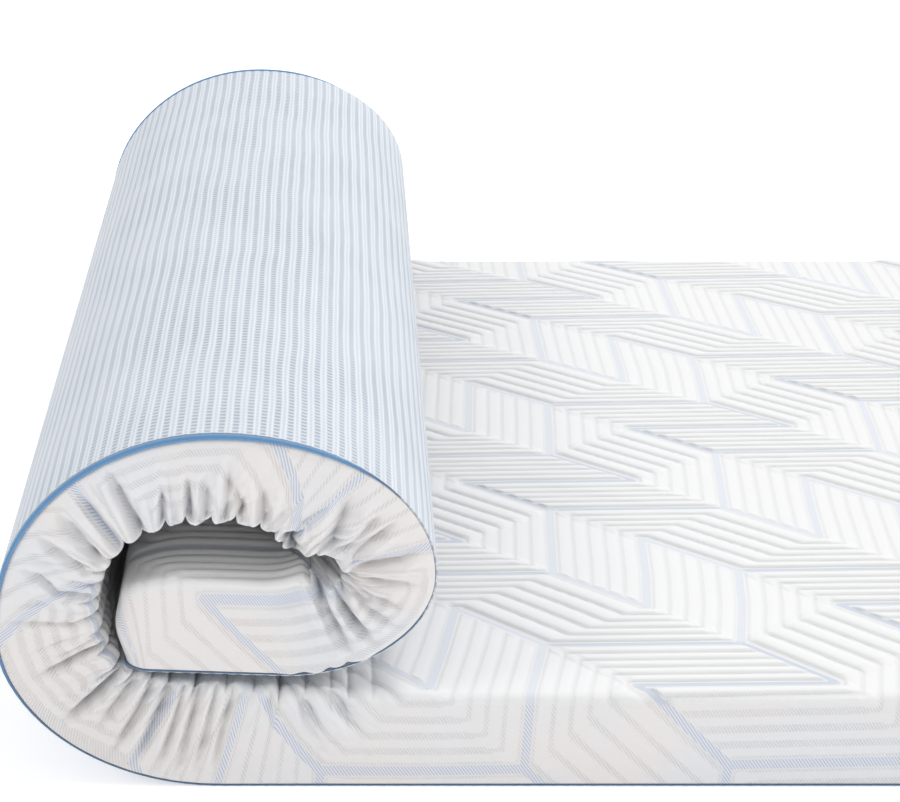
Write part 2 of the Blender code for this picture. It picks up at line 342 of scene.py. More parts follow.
def rolled_underside():
    """The underside from the floor round the roll to the tucked end, with its lengths."""
    arcs = (
        quarter(LOWER_LEFT, 270, 180),
        quarter(UPPER_LEFT, 180, 90)[1:],
        quarter(UPPER_RIGHT, 90, 0)[1:],
        quarter(LOWER_RIGHT, 0, -90)[1:],
        np.array([TUCKED_END]),
    )
    points = np.vstack(arcs)
    steps = np.linalg.norm(np.diff(points, axis=0), axis=1)
    return np.concatenate(([0.0], np.cumsum(steps))), points


ROLL_S, ROLL_POINTS = rolled_underside()
ROLLED_LENGTH = float(ROLL_S[-1])
FLAT_LENGTH = LENGTH - ROLLED_LENGTH
RIGHT_REACH = FLAT_LENGTH + PIPING_PROUD + PIPING_RADIUS * math.cos(math.pi / 6)
TOUCH_X = (LOWER_LEFT[2] - LOWER_LEFT[0] - RIGHT_REACH) / 2

# The same path with a straight lead at both ends, for plain interpolation
LAST_RUN = ROLL_POINTS[-1] - ROLL_POINTS[-2]
LAST_RUN = LAST_RUN / np.linalg.norm(LAST_RUN)
PATH_S = np.concatenate(([-LEAD], ROLL_S, [ROLLED_LENGTH + LEAD]))
PATH = np.vstack(([[LEAD, 0.0]], ROLL_POINTS, [ROLL_POINTS[-1] + LAST_RUN * LEAD]))


def underside(s):
    """Points of the underside at each s, as (x, z) before the shift to TOUCH_X."""
    return np.stack((np.interp(s, PATH_S, PATH[:, 0]), np.interp(s, PATH_S, PATH[:, 1])), -1)


def inward(s):
    """Unit normals at each s, from the underside into the filling."""
    run = underside(s + NORMAL_REACH) - underside(s - NORMAL_REACH)
    run /= np.linalg.norm(run, axis=-1, keepdims=True)
    return np.stack((run[..., 1], -run[..., 0]), -1)


def top_face_line(s):
    """Smooth line of the top face at each s, through the TOP_FACE points."""
    rows = TOP_FACE[:, 0]
    values = TOP_FACE[:, 1:]
    slopes = np.gradient(values, rows, axis=0)
    i = np.clip(np.searchsorted(rows, s, side="right") - 1, 0, len(rows) - 2)
    span = (rows[i + 1] - rows[i])[..., None]
    f = np.clip((s - rows[i])[..., None] / span, 0, 1)
    start = (1 + 2 * f) * (1 - f) ** 2 * values[i] + f * (1 - f) ** 2 * span * slopes[i]
    end = f * f * (3 - 2 * f) * values[i + 1] + f * f * (f - 1) * span * slopes[i + 1]
    before = np.stack((-s, np.full_like(s, THICKNESS)), -1)
    after = underside(s) + values[-1] - underside(np.array(rows[-1]))
    line = np.where((s <= rows[0])[..., None], before, start + end)
    return np.where((s >= rows[-1])[..., None], after, line)


def all_grooves():
    """Every groove as (s, depth), in order, with none left at either end of the gathers."""
    grooves = [(s, depth) for depth, places in GATHERS for s in places]
    grooves = np.array([(GATHERS_START, 0.0), *grooves, (GATHERS_END, 0.0)])
    grooves[:, 1] *= np.random.default_rng(GROOVE_SEED).uniform(*GROOVE_SPREAD, len(grooves))
    begun = (GATHERS_START, SHALLOW_UNTIL)
    grooves[:, 1] *= np.interp(grooves[:, 0], begun, (SHALLOW_FROM, 1.0))
    return grooves


GROOVES = all_grooves()


def groove_depth(s):
    """How far the top face dips at each s: none on top of a lobe, most in a groove."""
    i = np.clip(np.searchsorted(GROOVES[:, 0], s) - 1, 0, len(GROOVES) - 2)
    across = 2 * (s - GROOVES[i, 0]) / (GROOVES[i + 1, 0] - GROOVES[i, 0]) - 1
    depth = np.where(across < 0, GROOVES[i, 1], GROOVES[i + 1, 1])
    dip = depth * np.abs(np.clip(across, -1, 1)) ** LOBE_ROUNDNESS
    return np.where(np.abs(across) <= 1, dip, 0.0)


def end_dip(s, y):
    """How far the top face drops towards the tucked end, less its bulges in the tight fold."""
    drop = END_DROP * reached(s, ROLLED_LENGTH - END_DROP_RUN, ROLLED_LENGTH) ** 2
    bulge = np.zeros(np.broadcast(s, y).shape)
    for middle, reach, height in END_BULGES:
        bulge += height * np.exp(-((s - middle) / reach) ** 2)
    return drop - bulge * smooth(reached(np.abs(y), BULGE_FROM, WIDTH / 2 - PLAN_CORNER))


def settle(points):
    """World points from section points: the roll is a little fuller, most so at the far end."""
    x, y, z = points[..., 0], points[..., 1], points[..., 2]
    far = y / WIDTH + 0.5
    above = reached(z, FULL_FROM, ROLL_TOP)
    beside = smooth(np.clip(WIDENING_RATE * above, 0, 1))
    widened = FULLER_NEAR[0] + far * (FULLER_FAR[0] + FULLER_WIDTH * x)
    raised = FULLER_NEAR[1] + far * FULLER_FAR[1]
    return np.stack((x + beside * widened + TOUCH_X, y, z + above * raised), -1)


def cloth_point(s, y, n, dip):
    """World points at place (s, y) and height n of the flat topper, n = THICKNESS on top."""
    foot = underside(s)
    normal = inward(s)
    crest = top_face_line(s)
    away = foot - crest
    crest = crest + away / np.linalg.norm(away, axis=-1, keepdims=True) * dip[..., None]
    low = foot + normal * SHOULDER
    share = ((n - SHOULDER) / (THICKNESS - SHOULDER))[..., None]
    upper = low + (crest - low) * share
    lower = foot + normal * n[..., None]
    point = np.where(share > 0, upper, lower)
    return settle(np.stack((point[..., 0], y, point[..., 1]), -1))


# ======== creases and folds
def smooth_noise(a, b, seed):
    """Value noise of two arrays, -1..1, smooth between random values at whole numbers."""
    lattice = np.random.default_rng(seed).uniform(-1, 1, (LATTICE, LATTICE))
    ia, ib = np.floor(a).astype(int), np.floor(b).astype(int)
    fa, fb = smooth(a - ia), smooth(b - ib)
    a0, a1, b0, b1 = ia % LATTICE, (ia + 1) % LATTICE, ib % LATTICE, (ib + 1) % LATTICE
    low = lattice[a0, b0] * (1 - fa) + lattice[a1, b0] * fa
    high = lattice[a0, b1] * (1 - fa) + lattice[a1, b1] * fa
    return low * (1 - fb) + high * fb


def crease(s, down, centre, lean, reach, depth, width, steep):
    """A crease that leans along the side face, steep on one side, and dies out at its reach."""
    fade = smooth(np.clip((reach - down) / CREASE_FADE, 0, 1))
    off = (s - centre - lean * down) * steep
    off = np.where(off > 0, off / (STEEP_SIDE * width), -off / (GENTLE_SIDE * width))
    return depth * fade * np.exp(-off ** CREASE_SHARPNESS)


def fold_trough(x, z, width, depth, path):
    """Depth of one long fold at section places (x, z), fading towards its outer end."""
    nearest = np.full(x.shape, np.inf)
    place = np.zeros(x.shape)
    lengths = [math.dist(start, end) for start, end in zip(path, path[1:])]
    before = 0.0
    for (ax, az), (bx, bz), length in zip(path, path[1:], lengths):
        along = np.clip(((x - ax) * (bx - ax) + (z - az) * (bz - az)) / length ** 2, 0, 1)
        off = np.hypot(x - ax - along * (bx - ax), z - az - along * (bz - az))
        place = np.where(off < nearest, (before + along * length) / sum(lengths), place)
        nearest = np.minimum(nearest, off)
        before += length
    fade = np.clip(FOLD_FADE * (FOLD_END - place), 0, 1)
    trough = np.exp(-(nearest / width) ** FOLD_SHARPNESS)
    ridge = np.exp(-((nearest - RIDGE_PLACE * width) / (RIDGE_WIDTH * width)) ** 2)
    return depth * fade * (trough - RIDGE_HEIGHT * ridge)


def long_folds(x, z):
    """Depth of all long folds that show on the roll's face, at section places (x, z)."""
    total = np.zeros(x.shape)
    for width, depth, path in LONG_FOLDS:
        wide, deep = FOLD_WIDENING * width * MM, FOLD_DEEPENING * depth * MM
        total += fold_trough(x, z, wide, deep, [(a * MM, b * MM) for a, b in path])
    return total


def slit_shade(s, inset):
    """Painted shade of the slit under the tucked end, by how far a place lies inside the edge."""
    return SLIT_SHADE * plateau(s, SLIT_RANGE) * reached(inset, *SLIT_INSET)


def side_creases(s, down, x, z):
    """Depth of the creases and wrinkles of a side face, down from 0 at the top to 1."""
    random = np.random.default_rng(CREASE_SEED)
    total = np.zeros(np.broadcast(s, down).shape)
    for centre, groove in GROOVES[1:-1]:
        lean = look_up(CREASE_LEAN, centre) + random.uniform(*LEAN_SPREAD)
        reach = random.uniform(*REACH_SPREAD)
        depth = CREASE_DEPTH * groove / FULL_GROOVE * random.uniform(*DEPTH_SPREAD)
        width = CREASE_WIDTH * random.uniform(*WIDTH_SPREAD)
        steep = random.choice((-1.0, 1.0))
        main = crease(s, down, centre, lean, reach, depth, width, steep)
        fork = centre + random.uniform(*FORK_SPREAD)
        lean += random.uniform(*FORK_LEAN_SPREAD)
        reach = random.uniform(*FORK_REACH_SPREAD)
        forked = crease(s, down, fork, lean, reach, FORK_DEPTH, FORK_WIDTH, -steep)
        total = np.maximum(total, np.maximum(main, forked))
    along = s - look_up(CREASE_LEAN, s) * down
    wrinkles, fine = (
        smooth_noise(along / size, down * count, seed)
        for size, count, seed in (COARSE_WRINKLES, FINE_WRINKLES)
    )
    wrinkles = WRINKLE_DEPTH * (np.abs(wrinkles) + FINE_SHARE * fine)
    wrinkles = wrinkles * np.clip((WRINKLES_END - down) / WRINKLE_FADE, 0, 1)
    calm = 1 - (1 - CALM_SHARE) * plateau(s, CALM_RANGE)
    return (total * calm + wrinkles + long_folds(x, z)) * plateau(s, CREASED_RANGE)


# ======== pattern of the knit
def repeat_coordinates(x, y):
    """Places on the flat cloth in units of the repeat, folded into one period."""
    moved_x = x + look_up(NEAR_DRIFT, y) + look_up(ROLL_CREEP, -x)
    depth = np.clip(y, -TILT_REACH, TILT_REACH)
    tilt = (ROW_TILT[0] + ROW_TILT[1] * depth) * (np.maximum(x, TILT_FROM) - TILT_MIDDLE)
    moved_y = y - ACROSS_SHRINK * depth - tilt
    moved_y = moved_y - look_up(ROLL_CREEP, -x, 2) - look_up(NEAR_DRIFT, y, 2)
    u = (moved_x - REPEAT_ORIGIN[0]) / UNIT_X
    v = -(moved_y - REPEAT_ORIGIN[1]) / UNIT_Y
    turns = np.floor(u / PERIOD_U)
    return u - PERIOD_U * turns, np.mod(v + PERIOD_U * turns, PERIOD_V)


def zone(cases, last_phase):
    """Phase and direction by the first case (condition, phase, direction) that holds.

    Where none holds, the ribs run along, at the last phase.
    """
    conditions, phases, directions = zip(*cases)
    return np.stack((
        np.select(conditions, phases, last_phase),
        np.select(conditions, directions, ALONG),
    ))


def rib_phase(u, v):
    """Phase across the nested ribs, and their direction."""
    w = v - 4
    low_near = zone((
        (v < u, v, ALONG),
        (v < 2 - u, u, ACROSS),
        (v < 2 + u, (u - v + 2) / 2, SLANTED),
        (v < 3, v - 2, ALONG),
    ), 4 - v)
    low_far = zone((
        (v < 1, v, ALONG),
        (v < u, 2 - v, ALONG),
        (v < 4 - u, (u - v + 2) / 2, SLANTED),
        (v < u + 2, 2 - u, ACROSS),
    ), 4 - v)
    high_near = zone((
        (w < u, w, ALONG),
        (w < u + 2, u, ACROSS),
        (w < 4 - u, (u - w + 4) / 2, SLANTED),
    ), 4 - w)
    high_far = zone((
        (w < 2 - u, w, ALONG),
        (w < u, (u - w) / 2, SLANTED),
        (w < u + 2, 2 - u, ACROSS),
    ), 4 - w)
    near = u <= 1
    return np.where(v < 4, np.where(near, low_near, low_far), np.where(near, high_near, high_far))


# Pale blue bands of one period, as (u, v) end points
BLUE_BANDS = (
    ((0, 0), (0, 2)), ((0, 0), (2, 0)), ((1, 1), (2, 1)), ((0, 3), (1, 3)),
    ((1, 1), (2, 2)), ((0, 2), (1, 3)), ((0, 4), (0, 6)), ((0, 4), (2, 4)),
    ((1, 5), (1, 7)), ((1, 5), (2, 6)), ((0, 6), (1, 7)),
)
# Shifts (u, v) by which the period comes again round itself
NEIGHBOURS = ((0, 0), (2, -2), (-2, 2), (0, 8), (0, -8), (2, 6), (-2, -6))


def band_distance(u, v, narrower):
    """Distance from the middle of the nearest blue band, in metres.

    Bands that don't run straight across are narrower by the length given on each side.
    """
    best = np.full(u.shape, np.inf)
    for (u0, v0), (u1, v1) in BLUE_BANDS:
        dx, dy = (u1 - u0) * UNIT_X, (v1 - v0) * UNIT_Y
        added = narrower if dx else 0.0
        for du, dv in NEIGHBOURS:
            px, py = (u - u0 - du) * UNIT_X, (v - v0 - dv) * UNIT_Y
            t = np.clip((px * dx + py * dy) / (dx * dx + dy * dy), 0, 1)
            best = np.minimum(best, np.hypot(px - t * dx, py - t * dy) + added)
    return best


def knit_pattern(x, y, narrower):
    """Fold, fullness and band distance of the knit at places (x, y) on the flat cloth.

    The fold is 0.5 in the middle line between two units and 0 half a unit away.
    """
    u, v = repeat_coordinates(x, y)
    phase, _ = rib_phase(u, v)
    blend = ((0, 0), (1, 0), (-1, 0), (0, 1), (0, -1))
    fullness = np.zeros(u.shape)
    for dx, dy in blend:
        beside = repeat_coordinates(x + dx * FULLNESS_BLEND, y + dy * FULLNESS_BLEND)
        fullness += np.choose(rib_phase(*beside)[1].astype(int), FULLNESS) / len(blend)
    return np.abs(np.mod(phase, 1.0) - 0.5), fullness, band_distance(u, v, narrower)


def rib_height(fold, fullness, band):
    """Height of the padded ribs: 0 in the flat bands and grooves, about 1 on a crest."""
    place = np.clip((0.5 - fold - BAND_SHARE) / (1 - 2 * BAND_SHARE), 0, 1) * RIBS_A_UNIT
    across = np.abs(2 * np.mod(place, 1.0) - 1)
    return (1 - across ** RIB_ROUNDNESS) * smooth(reached(band, *BAND_EDGE)) * fullness


# ======== the knit cover
def flat_rows():
    """Values of s of the flat part's rows, and one more row past the seam with the roll."""
    start = PLAN_CORNER - FLAT_LENGTH
    rows = np.linspace(start, GATHERS_START, int((GATHERS_START - start) / FLAT_STEP))
    return np.append(rows, GATHERS_START + FLAT_STEP)


def roll_rows():
    """Values of s of the roll's rows, from one before the seam to the tucked end."""
    lobes = zip(GROOVES[:, 0], GROOVES[1:, 0])
    lobed = [np.linspace(a, b, LOBE_STEPS, endpoint=False) for a, b in lobes]
    rest = np.linspace(GATHERS_END, ROLLED_LENGTH - PLAN_CORNER, TUCKED_ROWS)
    return np.concatenate(([GATHERS_START - FLAT_STEP], *lobed, rest))


def flat_columns():
    """Values of y of the flat part's columns."""
    reach = WIDTH / 2 - PLAN_CORNER
    return np.linspace(-reach, reach, int(2 * reach / ACROSS_STEP))


def roll_columns():
    """Values of y of the roll's columns: close together at both ends, wide apart inside."""
    reach = WIDTH / 2 - PLAN_CORNER
    inner = reach - ROLL_FINE_RUN
    near = np.linspace(-reach, -inner, int(ROLL_FINE_RUN / ROLL_FINE_STEP), endpoint=False)
    inside = np.linspace(-inner, inner, ROLL_INSIDE_COLUMNS)
    return np.concatenate((near, inside, -near[::-1]))


def edge_profile(seam_size, side_levels):
    """Outline of the cover's border, one row a level, from the top patch to the underside.

    A row holds the outward run, the height n, the run along the cloth, and the shares of
    the ribs' relief that go outward and up.
    """
    arc_start = PLAN_CORNER - TOP_ROUND
    arc_end = arc_start + TOP_ROUND * math.pi / 2
    shoulder = COVER_BASE + SEAM_RISE * seam_size
    side = THICKNESS - TOP_ROUND - shoulder
    seam = math.hypot(SEAM_RUN, SEAM_RISE) * seam_size
    rows = [(r, THICKNESS, r, 0.0, 1.0)
            for r in np.arange(1, BORDER_STEPS) / BORDER_STEPS * arc_start]
    for a in np.linspace(0, math.pi / 2, ROUND_STEPS + 1):
        r = arc_start + TOP_ROUND * math.sin(a)
        n = THICKNESS - TOP_ROUND * (1 - math.cos(a))
        rows.append((r, n, arc_start + TOP_ROUND * a, math.sin(a), math.cos(a)))
    for f in np.arange(1, side_levels + 1) / side_levels:
        r = PLAN_CORNER + SIDE_CROWN * math.sin(math.pi * f)
        rows.append((r, THICKNESS - TOP_ROUND - side * f, arc_end + side * f, 1.0, 0.0))
    for f in np.arange(1, SEAM_STEPS + 1) / SEAM_STEPS:
        r = PLAN_CORNER - SEAM_RUN * seam_size * f
        n = shoulder - SEAM_RISE * seam_size * f
        rows.append((r, n, arc_end + side + seam * f, 0.0, 0.0))
    under = PLAN_CORNER - UNDER_REACH
    rows.append((under, COVER_BASE, arc_end + side + 2 * seam, 0.0, 0.0))
    rows = np.array(rows)
    on_side = np.maximum(rows[:, 2] - arc_start, 0)
    rows[:, 2] = np.minimum(rows[:, 2], arc_start) + SIDE_STRETCH * on_side
    return rows


def border_chain(nr, nc, rolled):
    """Where each border column starts in the top patch, and its outward direction (s, y).

    The border leaves out the side that joins the flat part and the roll.
    """
    grid = np.arange(nr * nc).reshape(nr, nc)
    near, far = grid[:, 0], grid[::-1, -1]
    starts, directions = [], []

    def side(indices, direction):
        starts.extend(indices)
        directions.extend([direction] * len(indices))

    def corner(index, from_angle):
        for k in range(1, CORNER_COLUMNS):
            a = from_angle + math.pi / 2 * k / CORNER_COLUMNS
            side([index], (math.cos(a), math.sin(a)))

    if rolled:
        side(near, (0.0, -1.0))
        corner(grid[-1, 0], -math.pi / 2)
        side(grid[-1], (1.0, 0.0))
        corner(grid[-1, -1], 0.0)
        side(far, (0.0, 1.0))
    else:
        side(far, (0.0, 1.0))
        corner(grid[0, -1], math.pi / 2)
        side(grid[0, ::-1], (-1.0, 0.0))
        corner(grid[0, 0], math.pi)
        side(near, (0.0, -1.0))
    return np.array(starts), np.array(directions)


def piping_size(s):
    """How full the piping shows along the edge, as a share of its full radius."""
    return look_up(PIPING_SIZES, s)


def build_cover(rows, columns, rolled):
    """Points, faces and cloth data of the flat part's or the roll's knit cover."""
    s_top, y_top = np.meshgrid(rows, columns, indexing="ij")
    fold, fullness, band = knit_pattern(-s_top, y_top, TOP_BAND_NARROWER)
    relief = rib_height(fold, fullness, band) * RIB_RELIEF
    dip = groove_depth(s_top) + end_dip(s_top, y_top)
    top = cloth_point(s_top, y_top, THICKNESS + relief, dip)

    starts, directions = border_chain(len(rows), len(columns), rolled)
    s0 = s_top.ravel()[starts][:, None]
    y0 = y_top.ravel()[starts][:, None]
    ds, dy = directions[:, :1], directions[:, 1:]
    side_levels = ROLL_LEVELS if rolled else FLAT_LEVELS
    slim = edge_profile(0.0, side_levels)[None]
    profile = slim + (edge_profile(1.0, side_levels)[None] - slim) * piping_size(s0)[..., None]
    run, n, cloth, outward, upward = np.moveaxis(profile, -1, 0)
    s_cloth = s0 + ds * cloth
    y_cloth = y0 + dy * cloth
    down = np.clip((THICKNESS - n) / THICKNESS, 0, 1)
    begun = reached(down, *SIDE_BEGINS)
    narrower = TOP_BAND_NARROWER * (1 - begun)
    narrower = narrower + CURL_BAND_NARROWER * begun * plateau(s0, CURL_RANGE)
    fold_b, fullness_b, band_b = knit_pattern(-s_cloth, y_cloth, narrower)
    relief_share = (1 - (1 - SIDE_RELIEF_SHARE) * begun) * np.where(n < SHOULDER, 0, 1)
    relief_b = rib_height(fold_b, fullness_b, band_b) * RIB_RELIEF * relief_share
    run = run + END_SWELL * np.maximum(ds, 0) * np.sin(np.pi * down) ** 2
    s_plain = s0 + ds * run
    plain = cloth_point(s_plain, y0 + dy * run, n, end_dip(s_plain, y0))
    pleat = side_creases(s0, down, plain[..., 0] - TOUCH_X, plain[..., 2]) * np.abs(dy)
    pleat = pleat * reached(run, PLAN_CORNER - TOP_ROUND, PLAN_CORNER)
    out = run + relief_b * outward - pleat
    s_b = s0 + ds * out
    dip = groove_depth(s_b) + end_dip(s_b, y0)
    border = cloth_point(s_b, y0 + dy * out, n + relief_b * upward, dip)

    # Painted shade: the gathers' grooves and the slit on top, the creases and the slit on the
    # sides
    shade = GROOVE_SHADE * groove_depth(s_top) + slit_shade(s_top, WIDTH / 2 - np.abs(y_top))
    shade_b = pleat + slit_shade(s0, PLAN_CORNER - run) * (down < SLIT_DOWN)

    points = np.vstack((top.reshape(-1, 3), border.reshape(-1, 3)))
    first, levels = s_top.size, n.shape[1]
    faces = [grid_faces(*s_top.shape)]
    c0 = np.arange(len(starts) - 1)
    c1 = c0 + 1
    faces.append(np.stack((starts[c0], starts[c1], first + c1 * levels, first + c0 * levels), -1))
    for k in range(levels - 1):
        b0, b1 = first + c0 * levels + k, first + c1 * levels + k
        faces.append(np.stack((b0, b1, b1 + 1, b0 + 1), -1))
    pairs = {
        "cloth_x": (-s_top, -s_cloth),
        "cloth_y": (y_top, y_cloth),
        "fold": (fold, fold_b),
        "fullness": (fullness, fullness_b),
        "band": (band, band_b),
        "side": (np.zeros(first), down),
        "shade": (shade, shade_b),
        "s": (s_top, s_b),
    }
    data = {key: np.concatenate((a.ravel(), b.ravel())) for key, (a, b) in pairs.items()}
    return points, np.vstack(faces), data


def smooth_normals(points, faces):
    """Area-weighted unit normals of the points."""
    diagonal_a = points[faces[:, 2]] - points[faces[:, 0]]
    diagonal_b = points[faces[:, 3]] - points[faces[:, 1]]
    across = np.cross(diagonal_a, diagonal_b)
    normals = np.zeros_like(points)
    for k in range(4):
        for axis in range(3):
            normals[:, axis] += np.bincount(faces[:, k], across[:, axis], len(points))
    lengths = np.linalg.norm(normals, axis=1, keepdims=True)
    return normals / np.maximum(lengths, 1e-12)


def add_object(name, data):
    """New object in the scene, with the data given."""
    made = bpy.data.objects.new(name, data)
    bpy.context.scene.collection.objects.link(made)
    return made


def new_mesh(name, material, points, faces, data, normals=None):
    """Mesh object from arrays; a face that names a point twice becomes a triangle."""
    mesh = bpy.data.meshes.new(name)
    twice = faces[:, 0] == faces[:, 1]
    polygons = [f[1:].tolist() if t else f.tolist() for f, t in zip(faces, twice)]
    mesh.from_pydata(points.tolist(), [], polygons)
    for key, values in data.items():
        attribute = mesh.attributes.new(key, "FLOAT", "POINT")
        attribute.data.foreach_set("value", values.astype(np.float32))
    mesh.shade_smooth()
    if normals is not None:
        mesh.normals_split_custom_set_from_vertices(normals.tolist())
    mesh.materials.append(material)
    return add_object(name, mesh)


# Where the cover is cut into pieces: name, then the range of s
FLAT_CUTS = (
    ("cover_flat_end", -math.inf, -0.560),
    ("cover_flat_middle", -0.560, GATHERS_START),
)
ROLL_CUTS = (
    ("cover_roll_lower", GATHERS_START, 0.210),
    ("cover_roll_upper", 0.210, 0.590),
    ("cover_roll_tucked", 0.590, math.inf),
)


def make_cover(material):
    """The cover's pieces: the flat part and the roll, each cut up into pieces along s."""
    pieces = []
    grids = (
        (flat_rows(), flat_columns(), False, FLAT_CUTS),
        (roll_rows(), roll_columns(), True, ROLL_CUTS),
    )
    for rows, columns, rolled, cuts in grids:
        points, faces, data = build_cover(rows, columns, rolled)
        normals = smooth_normals(points, faces)
        middle = data["s"][faces].mean(1)
        for name, low, high in cuts:
            chosen = faces[(middle >= low) & (middle < high)]
            used, index = np.unique(chosen, return_inverse=True)
            chosen = index.reshape(chosen.shape)
            values = {key: array[used] for key, array in data.items()}
            piece = new_mesh(name, material, points[used], chosen, values, normals[used])
            pieces.append(piece)
    return pieces


# ======== underside and piping
def make_panel(material):
    """Sheet of striped mesh on the outside of the roll and under the flat stretch."""
    start, stop = PANEL_INSET - FLAT_LENGTH, ROLLED_LENGTH - PANEL_INSET
    flat = np.arange(start, BENT_FROM, STRIPE_PITCH)
    bent = np.arange(BENT_FROM, stop, STRIPE_PITCH / STRIPE_STEPS)
    s = np.concatenate((flat, bent, [stop]))
    corner = PLAN_CORNER - PANEL_INSET
    end = np.minimum(s - start, stop - s)
    drawn = corner - np.sqrt(np.maximum(corner ** 2 - np.maximum(corner - end, 0) ** 2, 0))
    half = WIDTH / 2 - PANEL_INSET * piping_size(s) - np.where(end < corner, drawn, 0)
    ridge = STRIPE_RELIEF * np.cos(math.tau * s / STRIPE_PITCH)
    ridge = np.where(s > RIDGES_FROM, ridge, 0) * reached(end, 0, RIDGES_END)
    foot, normal = underside(s), inward(s)
    rows, columns = len(s), PANEL_COLUMNS
    y = half[:, None] * np.linspace(-1, 1, columns)[None]
    layers = []
    for line in (foot - normal * ridge[:, None], foot + normal * PANEL_THICKNESS):
        x, z = (np.broadcast_to(line[:, k:k + 1], y.shape) for k in range(2))
        layers.append(settle(np.stack((x, y, z), -1)).reshape(-1, 3))
    grid = np.arange(rows * columns).reshape(rows, columns)
    rim = np.concatenate((grid[0], grid[1:, -1], grid[-1, -2::-1], grid[-2:0:-1, 0]))
    following = np.roll(rim, -1)
    wall = np.stack((rim, following, following + grid.size, rim + grid.size), -1)
    face = grid_faces(rows, columns)
    faces = np.vstack((face[:, ::-1], face + grid.size, wall))
    data = {"cloth_x": np.tile(np.repeat(s, columns), 2), "cloth_y": np.tile(y.ravel(), 2)}
    piece = new_mesh("mesh_underside", material, np.vstack(layers), faces, data)
    piece.data.set_sharp_from_angle(angle=SHARP_ANGLE)
    return piece


def piping_route():
    """Places (s, y) along the whole edge, with the angle of the way out at each."""
    corner = PLAN_CORNER + PIPING_PROUD
    start, stop = -FLAT_LENGTH - PIPING_PROUD, ROLLED_LENGTH + PIPING_PROUD
    half = WIDTH / 2 + PIPING_PROUD
    flat = np.arange(start + corner, BENT_FROM, PIPING_FLAT_STEP)
    bent = np.arange(BENT_FROM, stop - corner, PIPING_BENT_STEP)
    line = np.concatenate((flat, bent, [stop - corner]))
    width = np.linspace(-half + corner, half - corner, PIPING_WIDTH_STEPS)
    turns = np.linspace(0, math.pi / 2, PIPING_TURN_STEPS + 1)[1:-1]

    def bend(s, y, from_angle):
        angles = from_angle + turns
        return ((s + corner * math.cos(a), y + corner * math.sin(a), a) for a in angles)

    return np.array([
        *((s, -half, -math.pi / 2) for s in line),
        *bend(stop - corner, corner - half, -math.pi / 2),
        *((stop, y, 0.0) for y in width),
        *bend(stop - corner, half - corner, 0.0),
        *((s, half, math.pi / 2) for s in line[::-1]),
        *bend(start + corner, half - corner, math.pi / 2),
        *((start, y, math.pi) for y in width[::-1]),
        *bend(start + corner, corner - half, math.pi),
    ])


def make_piping(material):
    """Round piping along the whole bottom edge, as one closed tube."""
    s, y, turn = piping_route().T
    size = piping_size(s)
    normal = inward(s)
    along = np.stack((-normal[:, 1], normal[:, 0]), -1)
    radius = PIPING_RADIUS * size[:, None]
    lifted = PIPING_LIFT * reached(size, PIPING_LIFT_FROM, 1.0) * np.maximum(np.sin(turn), 0)
    middle = underside(s) + normal * (PIPING_HEIGHT - PIPING_RADIUS + radius - lifted[:, None])
    around = math.tau * np.arange(PIPING_SIDES) / PIPING_SIDES
    out = radius * np.cos(around)[None]
    up = radius * np.sin(around)[None]
    plane = middle[:, None] + (out * np.cos(turn)[:, None])[..., None] * along[:, None]
    plane = plane + up[..., None] * normal[:, None]
    tucked = PIPING_TUCK * (1 - np.minimum(size, 1))[:, None]
    ys = y[:, None] + (out - tucked) * np.sin(turn)[:, None]
    points = settle(np.stack((plane[..., 0], ys, plane[..., 1]), -1)).reshape(-1, 3)
    grid = np.arange(ys.size).reshape(ys.shape)
    ahead = np.roll(grid, -1, 0)
    faces = np.stack((grid, ahead, np.roll(ahead, -1, 1), np.roll(grid, -1, 1)), -1)
    steps = np.linalg.norm(np.diff(middle, axis=0), axis=1) + np.abs(np.diff(y))
    data = {
        "cloth_x": np.repeat(np.concatenate(([0], np.cumsum(steps))), PIPING_SIDES),
        "cloth_y": np.tile(around / math.tau, len(s)),
        "size": np.repeat(size, PIPING_SIDES),
    }
    return new_mesh("piping", material, points, faces.reshape(-1, 4), data)


# ======== materials
# Colours of the knit: plain yarn on top and on the sides, yarn and painted shade in its grooves,
# blue bands, painted shade of full ribs on their bands, painted shade in deep creases and slit
WHITE_TOP = (0.715, 0.715, 0.718, 1)
WHITE_SIDE = ((0.688, 0.691, 0.708, 1), (0.710, 0.688, 0.678, 1))
YARN_TOP = (0.42, 0.43, 0.445, 1)
YARN_SIDE = ((0.41, 0.42, 0.44, 1), (0.48, 0.43, 0.40, 1))
BAND_BLUE = (0.30, 0.39, 0.57, 1)
BAND_BLUE_RIB_SHADE = (0.30, 0.37, 0.50, 1)
CREASE_SHADE_PAINTED = (0.17, 0.225, 0.29, 1)
# Colours of the mesh: pairs that it wanders between, then its white lines, holes and pores
MESH_GROUND = ((0.525, 0.565, 0.616, 1), (0.552, 0.586, 0.636, 1))
MESH_SHADE = ((0.478, 0.523, 0.586, 1), (0.510, 0.548, 0.606, 1))
MESH_LINE = (0.628, 0.658, 0.702, 1)
MESH_HOLE = (0.17, 0.22, 0.28, 1)
MESH_PORE = (0.34, 0.42, 0.55, 1)
# Colours of the piping: twill's low and high yarns, and painted shade where it is tucked in
TAPE_LOW = ((0.040, 0.145, 0.330, 1), (0.055, 0.180, 0.380, 1))
TAPE_HIGH = ((0.105, 0.290, 0.540, 1), (0.150, 0.350, 0.600, 1))
TAPE_TUCKED_SHADE = (0.055, 0.080, 0.120, 1)
# Weaves: cycles a metre along and across the cloth
HATCH = (400.0, 360.0)
FINE_WEAVE = (600.0, 400.0)
STITCHES = (900.0, 700.0)
TWILL = (900.0, 6.0)
# Heights of the bumps, metres
RIB_BUMP = 0.0010
STITCH_BUMP = 0.0004
MESH_BUMP = 0.0005
TWILL_BUMP = 0.0002


